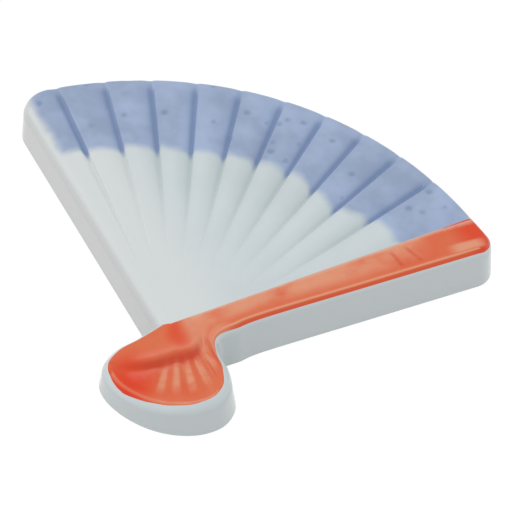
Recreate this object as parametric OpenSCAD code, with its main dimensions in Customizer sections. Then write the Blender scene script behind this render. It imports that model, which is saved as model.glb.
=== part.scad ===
// Chopstick rest in the form of an open folding fan, in glazed porcelain.
// The pleats meet at one point, the pleat point, and the plan is laid out round it.

/* [Leaf] */
// Height of the pleats' raised edges above the table
leaf_h = 5.6; // [4:0.1:9]
// Radius of the arc along the far rim
rim_r = 44.7; // [40:0.1:52]
// How far the arc's centre lies left of the pleat point
arc_left = 2.9; // [1:0.1:4]
// How far the arc's centre lies in front of the pleat point
arc_front = 5.3; // [3:0.1:7]
// Direction of the straight left edge, in degrees from the X axis
left_angle = 132.8; // [131:0.1:134]
// How far the left edge's wall lies outside the line through the pleat point
left_out = 1.4; // [1:0.1:2.4]
// Plan radius of the far left corner
corner_r = 3.6; // [3.2:0.1:5]
// Width of the rounding along the left edge
left_shoulder = 2.1; // [1.4:0.1:2.8]
// Width of the rounding along the far rim
rim_shoulder = 1.3; // [0.8:0.1:2]
// How far the leaf's rounded edge drops to the wall
leaf_drop = 1.7; // [1:0.1:2.4]

/* [Pleats] */
// Lines between neighbouring pleats
line_count = 10; // [8:1:10]
// Direction of the first line between pleats
first_line = 126.4; // [125.5:0.1:127]
// Angle from one line to the next
pleat_angle = 8.08; // [7.6:0.01:8.1]
// Depth of the groove beside each raised edge
pleat_depth = 0.42; // [0.2:0.02:0.8]
// Distance from the pleat point at which the pleats begin
fade_start = 9; // [6:0.5:12]
// Distance from the pleat point at which the pleats reach their full depth
fade_end = 31; // [20:0.5:36]
// Width along the far rim over which the grooves grow shallow
rim_fade = 1.6; // [0.8:0.1:3]

/* [Guard] */
// Direction of the border between guard and leaf
guard_angle = 39.2; // [38:0.1:40]
// Distance of that border from the pleat point
border_out = 3; // [2.6:0.1:3.4]
// Direction of the guard's outer wall
guard_wall_angle = 35.8; // [35:0.1:37]
// Distance of the guard's outer wall from the pleat point
guard_out = 0.76; // [0.4:0.02:1.2]
// Height of the guard's ridge above the leaf
guard_rise = 0.9; // [0.4:0.05:1.5]
// Width of the rounding outside the ridge
guard_shoulder = 1.25; // [0.8:0.05:1.6]
// How far the rounding drops to the wall
guard_drop = 1.7; // [1:0.1:2.4]
// Plan radius of the guard's tip
tip_r = 2.7; // [2.2:0.1:3.4]

/* [Handle] */
// Width of the handle
handle_w = 15; // [13.5:0.1:16.5]
// Height of the rib that crosses the handle
rib_rise = 0.4; // [0.2:0.05:1.2]
// Depth of the hollow in front of the rib
bowl_depth = 0.5; // [0.3:0.05:1.4]
// Flutes in the hollow
flute_count = 5; // [4:1:7]
// Depth of each flute
flute_depth = 0.14; // [0:0.02:0.3]
// Width of the rounding round the handle
handle_shoulder = 1.7; // [1:0.05:2]
// How much narrower that rounding is at the neck
neck_narrowing = 0.5; // [0:0.05:0.6]
// Distance along the left edge at which the handle joins it
join_at = 4; // [3.4:0.1:5]

/* [Wall and foot] */
// How far the wall leans in from the foot to its top
wall_lean = 0.45; // [0.1:0.05:0.7]
// Height at which the glaze ends above the table
glaze_line = 0.5; // [0.2:0.1:1]
// Chamfer of the bare foot
foot_chamfer = 0.4; // [0.1:0.05:0.8]
// Depth of the hollow under the leaf
recess_depth = 1.2; // [0.6:0.1:2]
// Width of the bare foot along the far rim
foot_w = 2.6; // [1.6:0.1:4]
// Distance from the pleat point at which the hollow begins
recess_start = 16; // [14:0.5:20]
// Width in plan of the hollow's sloping side
recess_slope = 0.8; // [0.4:0.1:1.5]

/* [Glaze] */
// Thickness of every glaze coat
glaze = 0.25; // [0.15:0.01:0.35]
// Distance from the pleat point to the blue band's inner edge, on the middle pleats
blue_start = 26.8; // [24:0.1:30]
// How far the blue band's edge dips in at each groove
blue_dip = 1.2; // [0:0.1:2]

/* [Hidden] */

// Columns of the leaf's grid: across the corner, across each pleat and across the last pleat.
corner_steps = 4;
pleat_shares = [0, 0.1, 0.5, 0.82, 0.93];
pleat_fall_shares = [0.3, 0, 0.12, 0.5, 1];
corner_fall_shares = [0, 0.02, 0.06, 0.12, 0.24];
corner_line_shares = [0.87, 0.94];
corner_line_fall_shares = [0.7, 1];
last_pleat_shares = [0, 0.12, 0.4, 0.72, 1];
last_fall_shares = [0.3, 0, 0.06, 0.12, 0.15];
first_crest = corner_steps + len(corner_line_shares) + 1;
last_crest = first_crest + (line_count - 1) * len(pleat_shares);
cols = last_crest + len(last_pleat_shares) - 1;
blue_col = cols - 1;

// Share of the rim's radius at which the first row beyond the guard's border lies.
core_place = 0.282;
// Share of a groove's depth that is left at the far rim.
rim_keep = 0.4;
// Plan radius of the top edge's corners, as a share of the wall's corners below them.
top_corner_share = 0.6;
// Share of the tip's outline that follows the far rim's arc.
tip_split = 0.35;
// Fall at which the blue band's edge lies in its middle place, and that edge's limits in a column.
dip_middle = 0.4;
blue_from = 0.15;
blue_to = 0.8;
// Places along the guard's straight wall, as shares of its length.
guard_places = [0.28, 0.6];
// Step along a curve over which its direction is taken.
run_step = 0.05;

// Rows of the leaf's grid, from the guard's border to the far rim.
inner_rows = 4;
outer_rows = 4;
rows = inner_rows + outer_rows;
outer_row_shares = [0, 0.4, 0.75, 0.94, 1];
core_r = core_place * rim_r;

// The blue band's inner edge at the first and last pleat, as shares of its place in the middle.
blue_edge_shares = [1.1, 1.07, 1.05, 1.02, 1, 1, 1, 1, 0.965, 0.95, 1.02, 1.02];

// The handle's wall in plan and its rim's height over the leaf, as shares of the handle's width.
// It runs from the left edge round the left lobe, the front and the right side to the neck.
wall_shares = [
    [-0.355, 0.03, -0.02], [-0.47, -0.065, -0.05], [-0.535, -0.18, -0.085],
    [-0.53, -0.275, -0.105], [-0.478, -0.357, -0.12],
    [-0.38, -0.435, -0.12], [-0.233, -0.503, -0.105], [-0.05, -0.545, -0.085],
    [0.145, -0.54, -0.06], [0.325, -0.482, -0.04], [0.458, -0.37, -0.023],
    [0.5, -0.215, -0.005], [0.447, -0.07, 0.0], [0.355, 0.033, 0.02],
    [0.315, 0.12, 0.043], [0.42, 0.213, 0.06]
];
lobe_from = 3;
lobe_to = 5;
neck_from = 11.4;
neck_to = 14.4;

// Places along the wall that face even steps along the border: they hurry round the neck.
front_places = [9.2, 10.05, 11.6, 14.1, 15.1, 15.7, 16.25, 16.87, 17.6];
border_crowding = 1.5;
line_u = front_places[len(front_places) - 1];

// Places along the wall between which the rounding narrows to the guard, and is narrower
// still at the neck.
narrow_from = 14.5;
narrow_to = 17;
pinch_from = 12;
pinch_to = 16.5;
pinch_step = 2;

// How far the edge has turned down where the enamel ends, round the handle and along the guard.
handle_paint_turn = 24;
handle_turns = [
    [5, 24], [6.5, 40], [8, 25], [9.5, 20], [10.6, 15], [12, 15], [13, 8], [14, 8], [15, 20]
];
join_paint_turn = 28;
guard_paint_turn = 45;
paint_from = 13.5;
paint_to = 16.5;
lobe_cols = 18;
join_bend = 2;
across_shares = [0, 0.12, 0.25, 0.38, 0.47, 0.6, 0.8, 1];
rib_shares = [0, 0.62, 0.95, 0.8, -0.1, 0, 0, 0];
bowl_shares = [0, 0, 0, -0.1, -0.7, -1, -0.65, 0];
flute_shares = [0, 0, 0, 0, 0.1, 0.8, 0.9, 0.2];
flutes_from = 8;
flutes_to = 12.3;
flutes_blend = 0.6;
across = len(across_shares) - 1;
turn = 360;
right_angle = turn / 4;

function dir(a) = [cos(a), sin(a)];
function mix(a, b, t) = a + (b - a) * t;
function clamp(t) = min(max(t, 0), 1);
function ease(t) = clamp(t) * clamp(t) * (3 - 2 * clamp(t));
function bearing(v) = atan2(v[1], v[0]);
function unit(v) = v / norm(v);

// Distance from p along d to the far side of a circle.
function reach(p, d, centre, r) =
    let (b = (p - centre) * d)
    -b + sqrt(b * b - (p - centre) * (p - centre) + r * r);

// Point where two lines meet.
function meet(p, d, q, e) =
    let (n = [-e[1], e[0]])
    p + d * (((q - p) * n) / (d * n));

// Smooth curve through points, at a fractional place u.
function curve(points, u) =
    let (last = len(points) - 1,
         k = min(floor(u), last - 1),
         t = u - k,
         a = points[max(k - 1, 0)], b = points[k],
         c = points[k + 1], d = points[min(k + 2, last)])
    (2 * b + (c - a) * t + (2 * a - 5 * b + 4 * c - d) * t * t
     + (3 * b - a - 3 * c + d) * t * t * t) / 2;

// Fixed lines and centres of the plan.
arc_centre = [-arc_left, -arc_front];
left_normal = dir(left_angle + right_angle);
left_run = dir(left_angle);
border_point = border_out * dir(guard_angle + right_angle);
border_run = dir(guard_angle);
guard_normal = dir(guard_wall_angle - right_angle);
guard_run = dir(guard_wall_angle);
top_rim_r = rim_r - rim_shoulder;

// A corner circle that touches a straight wall and the far rim's arc.
function corner_centre(out, normal, run, r, arc_r) =
    let (p = (out - r) * normal)
    p + run * reach(p, run, arc_centre, arc_r - r);

left_top_out = left_out - left_shoulder;
corner_top_r = corner_r * top_corner_share;
wall_corner = corner_centre(left_out, left_normal, left_run, corner_r, rim_r);
top_corner = corner_centre(left_top_out, left_normal, left_run, corner_top_r, top_rim_r);
guard_top_out = guard_out - guard_shoulder;
tip_top_r = tip_r * top_corner_share;
wall_tip = corner_centre(guard_out, guard_normal, guard_run, tip_r, rim_r);
top_tip = corner_centre(guard_top_out, guard_normal, guard_run, tip_top_r, top_rim_r);

function corner_point(centre, r, t) =
    centre + r * dir(mix(left_angle + right_angle, bearing(centre - arc_centre), t));

// Where the border between guard and leaf starts, and where it meets the far rim.
join_top = meet(border_point, border_run, left_top_out * left_normal, left_run);
join_wall = left_out * left_normal + join_at * left_run;
tip_along = reach(border_point, border_run, arc_centre, top_rim_r);
tip_join = border_point + tip_along * border_run;
tip_angle = bearing(tip_join);
last_line = first_line - (line_count - 1) * pleat_angle;
start_along = (join_top - border_point) * border_run;
line_along = border_out / tan(last_line - guard_angle);

// Pleat columns, each with its direction and its fall as a share of the groove's depth.
function column(c) =
    c <= corner_steps
        ? [undef, corner_fall_shares[c]]
    : c < first_crest
        ? let (k = c - corner_steps - 1)
          [first_line + (1 - corner_line_shares[k]) * pleat_angle, corner_line_fall_shares[k]]
    : c < last_crest
        ? let (k = c - first_crest,
               pleat = floor(k / len(pleat_shares)),
               step = k % len(pleat_shares))
          [first_line - (pleat + pleat_shares[step]) * pleat_angle, pleat_fall_shares[step]]
    : let (step = c - last_crest)
      [mix(last_line, tip_angle, last_pleat_shares[step]), last_fall_shares[step]];

column_list = [for (c = [0:cols]) column(c)];

function rim_top(c) =
    c <= corner_steps
        ? corner_point(top_corner, corner_top_r, c / corner_steps)
    : c == cols
        ? tip_join
    : let (d = dir(column_list[c][0]))
      d * reach([0, 0], d, arc_centre, top_rim_r);

function rim_wall(c) =
    c <= corner_steps
        ? corner_point(wall_corner, corner_r, c / corner_steps)
    : arc_centre + rim_r * unit(rim_top(c) - arc_centre);

function border_at(c) =
    c <= last_crest
        ? let (along = mix(start_along, line_along, pow(c / last_crest, border_crowding)))
          border_point + along * border_run
    : c == cols
        ? tip_join
    : border_point + border_out / tan(column_list[c][0] - guard_angle) * border_run;

// How far a groove has faded in at a place in plan.
function fade(p) =
    let (inward = ease((norm(p) - fade_start) / (fade_end - fade_start)),
         rim = ease((norm(p - arc_centre) - top_rim_r + rim_fade) / rim_fade))
    inward * mix(1, rim_keep, rim);

function leaf_top(p, c) = leaf_h - pleat_depth * column_list[c][1] * fade(p);

// The first row beyond the border, and the blue band's inner edge.
core_share = (core_r - norm(border_at(last_crest)))
    / (norm(rim_top(last_crest)) - norm(border_at(last_crest)));

left_reach = sqrt(core_r * core_r - left_top_out * left_top_out);
left_core = left_top_out * left_normal + left_reach * left_run;
first_core = core_r * dir(first_line);
left_bearing = bearing(rim_top(0));

function core_at(c) =
    c < first_crest
        ? let (turned = left_bearing - bearing(rim_top(c)))
          mix(left_core, first_core, turned / (left_bearing - first_line))
    : c <= last_crest
        ? core_r * unit(rim_top(c))
    : mix(border_at(c), rim_top(c), core_share);

function blue_at(c) =
    let (place = max(0, c - corner_steps + 1) / len(pleat_shares),
         base = curve(blue_edge_shares, min(place, len(blue_edge_shares) - 1)),
         dip = blue_dip * (column_list[c][1] - dip_middle),
         length = norm(rim_top(c) - core_at(c)),
         share = (blue_start * base - dip - norm(core_at(c))) / max(length, glaze))
    mix(core_at(c), rim_top(c), min(max(share, blue_from), blue_to));

// Rows along the straight left edge: even as far as the blue band, then even again.
function left_share(i) =
    let (blue = (norm(blue_at(1)) - norm(join_top)) / norm(rim_top(0) - join_top))
    i <= inner_rows
        ? blue * i / inner_rows
    : mix(blue, 1, outer_row_shares[i - inner_rows]);

function leaf_plan(i, c) =
    i == 0 || c == cols
        ? (c == cols ? tip_join : border_at(c))
    : c == 0
        ? mix(join_top, rim_top(0), left_share(i))
    : i <= inner_rows
        ? mix(core_at(c), blue_at(c), (i - 1) / (inner_rows - 1))
    : mix(blue_at(c), rim_top(c), outer_row_shares[i - inner_rows]);

// The wall round handle and guard: named shares, then the guard's straight wall to its tip.
handle_wall = concat(
    [[join_wall[0], join_wall[1], 0]],
    [for (p = wall_shares) p * handle_w],
    [for (along = guard_places)
        let (p = guard_out * guard_normal + along * norm(wall_tip) * guard_run)
        [p[0], p[1], guard_rise]],
    [let (p = wall_tip + tip_r * guard_normal) [p[0], p[1], guard_rise]]
);
wall_last = len(handle_wall) - 1;
strip = lobe_cols + cols;

// Place along that wall at which a column of the guard and handle ends.
function front_u(s) =
    s <= lobe_cols
        ? mix(lobe_to, front_places[0], s / lobe_cols)
    : s <= lobe_cols + last_crest
        ? curve(front_places, (s - lobe_cols) / last_crest * (len(front_places) - 1))
    : mix(line_u, wall_last, (s - lobe_cols - last_crest) / (cols - last_crest));

function flat(p) = [p[0], p[1]];
function wall_at(u) = flat(curve(handle_wall, u));
function rim_rise(u) = curve(handle_wall, u)[2];

function at_neck(u) = ease((u - neck_from) / (neck_to - neck_from));
function paint_turn(u) =
    let (guard = ease((u - paint_from) / (paint_to - paint_from)))
    mix(lookup(u, handle_turns), guard_paint_turn, guard);

// Width of the rounding, from handle through neck to guard.
function shoulder_at(u) =
    let (guard = ease((u - narrow_from) / (narrow_to - narrow_from)),
         neck = ease((u - pinch_from) / pinch_step) * ease((pinch_to - u) / pinch_step))
    mix(handle_shoulder, guard_shoulder, guard) - neck_narrowing * neck;

function inset_at(u) =
    let (width = shoulder_at(u),
         ahead = min(u + run_step, wall_last),
         behind = max(u - run_step, 0),
         run = unit(wall_at(ahead) - wall_at(behind)))
    wall_at(u) + width * [-run[1], run[0]];

function back_u(s) = mix(lobe_from, 0, s / lobe_cols);

function back_plan(s) =
    s < lobe_cols
        ? inset_at(back_u(s)) + (join_top - inset_at(0)) * pow(s / lobe_cols, join_bend)
    : border_at(s - lobe_cols);

function front_plan(s) =
    s == strip ? top_tip + tip_top_r * guard_normal : inset_at(front_u(s));

// The tip's outline: along the far rim's arc, then round the corner circle.
function tip_point(centre, r, arc_r, w) =
    let (from = bearing(tip_join - arc_centre),
         to = bearing(centre - arc_centre),
         past = (w - tip_split) / (1 - tip_split))
    w <= tip_split
        ? arc_centre + arc_r * dir(mix(from, to, w / tip_split))
    : centre + r * dir(mix(to, guard_wall_angle - right_angle, past));

function strip_plan(w, s) =
    let (share = across_shares[w])
    w == 0
        ? back_plan(s)
    : s == strip
        ? tip_point(top_tip, tip_top_r, top_rim_r, share)
    : s == 0
        ? inset_at(mix(lobe_from, lobe_to, share))
    : mix(back_plan(s), front_plan(s), share);

function back_z(s) =
    s < lobe_cols
        ? leaf_h + rim_rise(back_u(s))
    : leaf_top(border_at(s - lobe_cols), s - lobe_cols);

// Crests and troughs of the flutes along the wall: 1 on a crest and -1 between two.
function flute(u) =
    let (wave = cos(turn * (flute_count - 1) * (u - flutes_from) / (flutes_to - flutes_from)),
         starts = ease((u - flutes_from) / flutes_blend + 1),
         stops = ease((flutes_to - u) / flutes_blend + 1))
    wave * starts * stops;

function strip_z(w, s) =
    let (share = across_shares[w],
         u = front_u(s),
         lobe = ease(s / lobe_cols),
         hollow = bowl_shares[w] * bowl_depth + flute_shares[w] * flute_depth * flute(u),
         shape = rib_shares[w] * rib_rise + hollow)
    s == 0
        ? leaf_h + rim_rise(mix(lobe_from, lobe_to, share))
    : mix(back_z(s), leaf_h + rim_rise(u), share) + shape * lobe * (1 - at_neck(u));

// The closed edge of the top surface, clockwise from the join of handle and left edge.
// Each entry has the top edge, the foot of the wall, the height where the wall begins and
// how far the edge has turned down at the paint's border.
leaf_wall_z = leaf_h - leaf_drop;
edge = concat(
    [for (i = [0:rows])
        let (top = leaf_plan(i, 0))
        [[top[0], top[1], leaf_top(top, 0)], mix(join_wall, rim_wall(0), left_share(i)),
         leaf_wall_z, mix(join_paint_turn, guard_paint_turn, ease(i / inner_rows))]],
    [for (c = [1:cols])
        let (top = rim_top(c))
        [[top[0], top[1], leaf_top(top, c)], rim_wall(c), leaf_wall_z, guard_paint_turn]],
    [for (w = [1:across])
        let (top = strip_plan(w, strip), z = strip_z(w, strip))
        [[top[0], top[1], z], tip_point(wall_tip, tip_r, rim_r, across_shares[w]),
         mix(leaf_wall_z, z - guard_drop, across_shares[w]), guard_paint_turn]],
    [for (s = [strip - 1:-1:0])
        let (top = strip_plan(across, s), z = strip_z(across, s))
        [[top[0], top[1], z], wall_at(front_u(s)), z - guard_drop, paint_turn(front_u(s))]],
    [for (w = [across - 1:-1:0])
        let (top = strip_plan(w, 0), z = strip_z(w, 0))
        [[top[0], top[1], z], wall_at(mix(lobe_from, lobe_to, across_shares[w])),
         z - guard_drop, handle_paint_turn]],
    [for (s = [1:lobe_cols - 1])
        let (top = strip_plan(0, s), z = strip_z(0, s))
        [[top[0], top[1], z], wall_at(back_u(s)), z - guard_drop,
         mix(handle_paint_turn, join_paint_turn, ease(s / lobe_cols))]]
);
edge_count = len(edge);
blue_edge = inner_rows;
tip_edge = rows + cols;

// Every point of the skin is a pair: the glaze's face and the porcelain under it.
function pair(p, d) = [p, p - glaze * d];
up = [0, 0, 1];

leaf_grid = [for (i = [0:rows]) [for (c = [0:cols])
    let (p = leaf_plan(i, c))
    pair([p[0], p[1], leaf_top(p, c)], up)]];

strip_grid = [for (w = [0:across]) [for (s = [0:strip])
    let (p = strip_plan(w, s))
    pair([p[0], p[1], strip_z(w, s)], up)]];

// Rows down the rounded edge and the wall to the glaze line.
round_steps = 4;
paint_row = 2;
wall_row = round_steps + 1;
edge_grid = [for (k = [0:wall_row]) [for (q = [0:edge_count])
    let (e = edge[q % edge_count],
         top = e[0],
         out = unit(e[1] - flat(top)),
         head = e[1] - wall_lean * out,
         low = e[1] - wall_lean * glaze_line / e[2] * out,
         a = k <= paint_row
             ? e[3] * k / paint_row
             : mix(e[3], right_angle, min((k - paint_row) / (round_steps - paint_row), 1)),
         n = [out[0], out[1], 0])
    k <= round_steps
        ? let (p = mix(flat(top), head, sin(a)))
          pair([p[0], p[1], mix(e[2], top[2], cos(a))], n * sin(a) + up * cos(a))
    : pair([low[0], low[1], glaze_line], n)]];

foot_ring = [for (q = [0:edge_count])
    let (e = edge[q % edge_count],
         out = unit(e[1] - flat(e[0])),
         p = e[1] - (glaze + foot_chamfer) * out)
    [p[0], p[1], 0]];
sole_ring = [for (q = [0:edge_count])
    let (p = edge[q % edge_count][0]) [p[0], p[1], 0]];

// The hollow under the leaf, as rows and columns of the sole.
recess_left = first_crest - 1;
recess_right = last_crest;
ceiling_from = 3;
ceiling_to = 5;
recess_least = 3;

function sole_plan(i, c) =
    i == 0 || i == rows || c == 0 || c == cols
        ? leaf_plan(i, c)
    : let (far = rim_top(c),
           near = norm(core_at(c)),
           end = norm(far),
           start = max(recess_start, near + recess_slope),
           stop = max(end - foot_w, start + recess_least * recess_slope),
           places = [near, start, start + recess_slope, (start + stop) / 2,
                     stop - recess_slope, stop, (stop + end) / 2])
      c > last_crest
          ? mix(leaf_plan(0, c), far, i / rows)
      : mix(core_at(c), far, (places[i - 1] - near) / (end - near));

function in_ceiling(i, c) =
    i >= ceiling_from && i <= ceiling_to && c > recess_left && c < recess_right;

sole_grid = [for (i = [0:rows]) [for (c = [0:cols])
    let (p = sole_plan(i, c))
    [p[0], p[1], in_ceiling(i, c) ? recess_depth : 0]]];

strip_sole = [for (w = [0:across]) [for (s = [0:strip])
    let (p = strip_plan(w, s))
    [p[0], p[1], 0]]];

// The origin lies under the middle of the whole plan.
walls = [for (e = edge) e[1]];
plan_min = [min([for (p = walls) p[0]]), min([for (p = walls) p[1]])];
plan_max = [max([for (p = walls) p[0]]), max([for (p = walls) p[1]])];
middle = (plan_min + plan_max) / 2;

// Triangles of a grid of points, seen from the side that its columns turn towards.
function mesh(grid) =
    [for (i = [0:len(grid) - 2]) for (j = [0:len(grid[0]) - 2])
        let (a = grid[i][j], b = grid[i][j + 1], c = grid[i + 1][j + 1], d = grid[i + 1][j])
        each [[a, c, b], [a, d, c]]];

function turned(triangles) = [for (t = triangles) [t[0], t[2], t[1]]];
function part_of(grid, i0, i1, j0, j1) = [for (i = [i0:i1]) [for (j = [j0:j1]) grid[i][j]]];
function face(grid, side) = [for (row = grid) [for (p = row) p[side]]];
function coat(grid) = concat(mesh(face(grid, 0)), turned(mesh(face(grid, 1))));
function rim(path) = mesh([[for (p = path) p[0]], [for (p = path) p[1]]]);
function row_path(grid, i, from, to) =
    [for (j = [from:(to > from ? 1 : -1):to]) grid[i][j]];
function column_path(grid, j, from, to) =
    [for (i = [from:(to > from ? 1 : -1):to]) grid[i][j]];

module solid(triangles) {
    whole = [for (t = triangles) if (t[0] != t[1] && t[1] != t[2] && t[2] != t[0]) t];
    translate([-middle[0], -middle[1], 0])
        polyhedron(
            points = [for (t = whole) each t],
            faces = [for (k = [0:len(whole) - 1]) [3 * k, 3 * k + 1, 3 * k + 2]]
        );
}

// The fired clay: pleated leaf, guard, handle and foot in one piece.
module porcelain_body() {
    color("whitesmoke")
        solid(concat(
            mesh(face(leaf_grid, 1)),
            turned(mesh(face(strip_grid, 1))),
            mesh(face(edge_grid, 1)),
            mesh([[for (p = edge_grid[wall_row]) p[1]], foot_ring, sole_ring]),
            turned(mesh(sole_grid)),
            mesh(strip_sole)
        ));
}

// Clear glaze on the white part of the leaf and round all the walls.
module clear_glaze_coat() {
    color("gainsboro")
        solid(concat(
            coat(part_of(leaf_grid, 0, inner_rows, 0, blue_col)),
            coat(part_of(edge_grid, paint_row, wall_row, 0, edge_count)),
            coat(part_of(edge_grid, 0, paint_row, 0, blue_edge)),
            rim(concat(
                row_path(leaf_grid, 0, blue_col, 0),
                column_path(edge_grid, 0, 0, paint_row)
            )),
            rim(row_path(edge_grid, paint_row, edge_count, blue_edge)),
            rim(column_path(edge_grid, blue_edge, paint_row, 0)),
            rim(row_path(leaf_grid, inner_rows, 0, blue_col)),
            rim(column_path(leaf_grid, blue_col, inner_rows, 0)),
            rim(row_path(edge_grid, wall_row, 0, edge_count))
        ));
}

// Blue glaze along the far ends of the pleats and over the rim.
module blue_glaze_band() {
    color("lightsteelblue")
        solid(concat(
            coat(part_of(leaf_grid, inner_rows, rows, 0, cols)),
            coat(part_of(leaf_grid, 0, inner_rows, blue_col, cols)),
            coat(part_of(edge_grid, 0, paint_row, blue_edge, tip_edge)),
            rim(row_path(leaf_grid, inner_rows, blue_col, 0)),
            rim(column_path(edge_grid, blue_edge, 0, paint_row)),
            rim(row_path(edge_grid, paint_row, blue_edge, tip_edge)),
            rim(column_path(edge_grid, tip_edge, paint_row, 0)),
            rim(row_path(leaf_grid, 0, cols, blue_col)),
            rim(column_path(leaf_grid, blue_col, 0, inner_rows))
        ));
}

// Red enamel over the guard and the handle.
module red_enamel_coat() {
    color("tomato")
        solid(concat(
            turned(coat(strip_grid)),
            coat(part_of(edge_grid, 0, paint_row, tip_edge, edge_count)),
            rim(row_path(strip_grid, 0, lobe_cols, strip)),
            rim(column_path(edge_grid, tip_edge, 0, paint_row)),
            rim(row_path(edge_grid, paint_row, tip_edge, edge_count)),
            rim(column_path(edge_grid, edge_count, paint_row, 0))
        ));
}

// Clear glaze on the ceiling of the hollow under the leaf.
module recess_glaze() {
    ceiling = [for (row = part_of(sole_grid, ceiling_from, ceiling_to,
                                  recess_left + 1, recess_right - 1))
        [for (p = row) [p - glaze * up, p]]];
    last_row = len(ceiling) - 1;
    last_col = len(ceiling[0]) - 1;
    color("white")
        solid(turned(concat(
            coat(ceiling),
            rim(row_path(ceiling, 0, last_col, 0)),
            rim(column_path(ceiling, 0, 0, last_row)),
            rim(row_path(ceiling, last_row, 0, last_col)),
            rim(column_path(ceiling, last_col, last_row, 0))
        )));
}

porcelain_body();
clear_glaze_coat();
blue_glaze_band();
red_enamel_coat();
recess_glaze();
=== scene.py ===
"""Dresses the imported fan-shaped chopstick rest in its glazes, and lights it in a small studio."""

import math

import bmesh
import bpy
import numpy as np
from bpy.props import FloatProperty, FloatVectorProperty, IntProperty, PointerProperty
from mathutils import Matrix, Vector
from numpy.linalg import norm


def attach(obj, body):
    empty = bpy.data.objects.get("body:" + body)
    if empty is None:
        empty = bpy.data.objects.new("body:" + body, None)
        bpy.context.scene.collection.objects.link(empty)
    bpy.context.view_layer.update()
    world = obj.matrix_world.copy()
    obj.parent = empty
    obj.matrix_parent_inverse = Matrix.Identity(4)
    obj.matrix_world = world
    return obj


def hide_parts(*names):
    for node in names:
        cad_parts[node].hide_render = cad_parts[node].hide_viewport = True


bl_info = {
    "name": "Fan Chopstick Rest",
    "version": (1, 0, 0),
    "blender": (4, 5, 0),
    "location": "View3D > Sidebar > Fan Rest",
    "description": "Glazed porcelain chopstick rest shaped as an open folding fan",
    "category": "Object",
}

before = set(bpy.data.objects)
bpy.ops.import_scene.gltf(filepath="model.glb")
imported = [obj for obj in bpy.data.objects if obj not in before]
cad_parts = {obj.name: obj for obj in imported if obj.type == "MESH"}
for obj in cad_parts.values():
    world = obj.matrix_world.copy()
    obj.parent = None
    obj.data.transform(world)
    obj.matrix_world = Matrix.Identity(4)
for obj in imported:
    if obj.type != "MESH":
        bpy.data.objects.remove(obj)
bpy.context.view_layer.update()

# Curves across a pleat, as shares. Each pair is a place across it and, in the first, the fall of
# the form into its groove; in the second, the painted shade on its face there.
PLEAT_FALL_SHARES = ((0, 0.3), (0.04, 0.06), (0.09, 0), (0.5, 0.12), (0.72, 0.27),
                     (0.82, 0.52), (0.89, 0.88), (0.93, 1), (0.97, 0.7), (1, 0.3))
PLEAT_SHADE_SHARES = ((0, 0.67), (0.1, 0.17), (0.2, 0), (0.3, 0), (0.5, 0.42), (0.7, 0.83),
                     (0.78, 1), (0.87, 1), (1, 0.67))
# Places across a pleat where the grid has its columns. The first pleat starts late in the row.
PLEAT_SHARES = (0, 0.02, 0.05, 0.1, 0.2, 0.32, 0.45, 0.57, 0.68, 0.77, 0.83, 0.87, 0.9, 0.925,
                0.945, 0.965, 0.982, 0.993)
FIRST_SHARE = 0.85
# The left corner and the last face by the guard are parts of a pleat, from one place to another.
CORNER_START, CORNER_PHASE, CORNER_CROWDING = 0.09, 0.7, 1.3
LAST_PHASE, LAST_SPEED = 0.58, 1.2
# What is left of the grooves at the rim, the radius of the grid's core ring, the top's corners
# beside the wall's, where the tip leaves the arc, and the guard wall's points along it.
RIM_KEEP, CORE_PLACE, TOP_CORNER_SHARE, TIP_SPLIT = 0.4, 0.282, 0.6, 0.35
GUARD_PLACES = (0.28, 0.6)
RUN_STEP = 0.05
UP = np.array((0.0, 0.0, 1.0))

# The blue band's inner edge from line to line, as shares of blue_start, its place between core
# and rim, and the column in which it ends beside the guard, as a share of the last columns.
BLUE_EDGE_SHARES = (1.1, 1.07, 1.05, 1.02, 1, 1, 1, 1, 0.965, 0.95, 1.02, 1.02)
BLUE_KEEP = (0.15, 0.8)
BLUE_END, LAST_BLUE_SHARE, DIP_MIDDLE = 0.72, 1.04, 0.4

# The wall round handle and guard, in handle widths from the pleat point, with its rim's rise.
WALL_SHARES = (
    (-0.355, 0.03, -0.02), (-0.47, -0.065, -0.05), (-0.535, -0.18, -0.085),
    (-0.53, -0.275, -0.105), (-0.478, -0.357, -0.12), (-0.38, -0.435, -0.12),
    (-0.233, -0.503, -0.105), (-0.05, -0.545, -0.085), (0.145, -0.54, -0.06),
    (0.325, -0.482, -0.04), (0.458, -0.37, -0.023), (0.5, -0.215, -0.005),
    (0.447, -0.07, 0.0), (0.355, 0.033, 0.02), (0.315, 0.12, 0.043), (0.42, 0.213, 0.06),
)
# Sections across the handle, and places along the wall's points where features start and stop.
ACROSS_SHARES = (0, 0.12, 0.25, 0.38, 0.47, 0.6, 0.8, 1)
RIB_SHARES = (0, 0.62, 0.95, 0.8, -0.1, 0, 0, 0)
BOWL_SHARES = (0, 0, 0, -0.1, -0.7, -1, -0.65, 0)
FLUTE_SHARES = (0, 0, 0, 0, 0.1, 0.8, 0.9, 0.2)
FLUTES_FROM, FLUTES_TO, FLUTES_BLEND = 8, 12.3, 0.6
LOBE_FROM, LOBE_TO, NECK = 3, 5, (11.4, 14.4)
FRONT_PLACES = (9.2, 10.05, 11.6, 14.1, 15.1, 15.7, 16.25, 16.87, 17.6)
BORDER_CROWDING = 1.5
JOIN_U, LINE_U = FRONT_PLACES[0], FRONT_PLACES[-1]
NARROW = (14.5, 17)
PINCH_FROM, PINCH_TO, PINCH_STEP = 12, 16.5, 2
# How far the edge has turned down where the enamel ends, in radians, or degrees in the table.
HANDLE_TURN, JOIN_TURN, GUARD_TURN = math.radians(24), math.radians(28), math.radians(45)
HANDLE_TURNS = ((5, 24), (6.5, 40), (8, 25), (9.5, 20), (10.6, 15), (12, 15), (13, 8), (14, 8),
                (15, 20))
GUARD_PAINT = (13.5, 16.5)

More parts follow.
